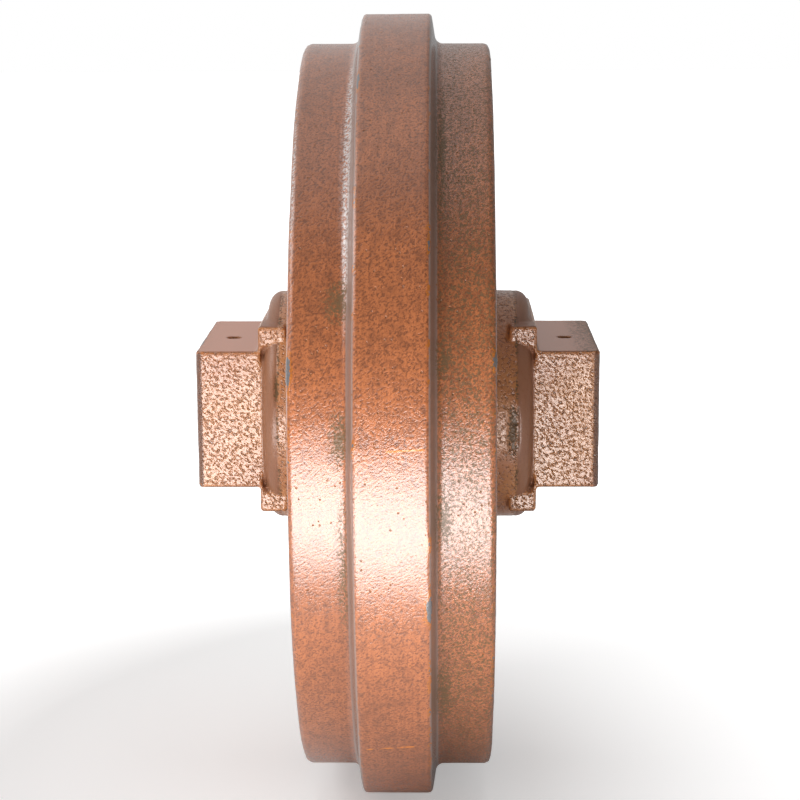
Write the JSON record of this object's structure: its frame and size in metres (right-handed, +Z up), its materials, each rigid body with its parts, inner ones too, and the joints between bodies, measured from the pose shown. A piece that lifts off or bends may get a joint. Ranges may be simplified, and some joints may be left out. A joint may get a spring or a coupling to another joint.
{
  "type": "front idler",
  "caption": "Flanged cast idler wheel turning on a fixed shaft between two guide-block brackets, with oil-filled bushings and floating seals.",
  "frame": {"origin": "the wheel's centre, on the axle's axis and the wheel's middle plane", "axes": "+Y along the axle towards the machine's left side, +X forward (the brackets' shorter side, away from the yoke), +Z up"},
  "size_m": [0.54, 0.273, 0.54],
  "materials": {
    "wheel_paint": "semi-gloss brown-bronze paint over a sand casting",
    "bracket_paint": "semi-gloss brown-bronze paint over a coarse sand casting",
    "machined_steel": "turned and ground",
    "plug_steel": "turned",
    "copper": "soft copper",
    "bronze": "turned bronze",
    "seal_rubber": "matte",
    "seal_iron": "ground and lapped"
  },
  "bodies": {
    "carrier": {"shaft": "machined_steel", "oil_plug": "plug_steel", "oil_plug_washer": "copper", "left_bracket": "bracket_paint", "left_lock_pin": "machined_steel", "left_shaft_o_ring": "seal_rubber", "left_bracket_seal_ring": "seal_iron", "left_bracket_toric_ring": "seal_rubber", "right_bracket": "bracket_paint", "right_lock_pin": "machined_steel", "right_shaft_o_ring": "seal_rubber", "right_bracket_seal_ring": "seal_iron", "right_bracket_toric_ring": "seal_rubber"},
    "wheel": {"wheel_shell": "wheel_paint", "left_bushing": "bronze", "left_wheel_seal_ring": "seal_iron", "left_wheel_toric_ring": "seal_rubber", "left_core_plugs": "wheel_paint", "right_bushing": "bronze", "right_wheel_seal_ring": "seal_iron", "right_wheel_toric_ring": "seal_rubber", "right_core_plugs": "wheel_paint"}
  },
  "joints": [
    {"name": "wheel_spin", "type": "hinge", "parent": "carrier", "child": "wheel", "pos_m": [0, 0, 0], "axis": [0, 1, 0], "continuous": true}
  ]
}
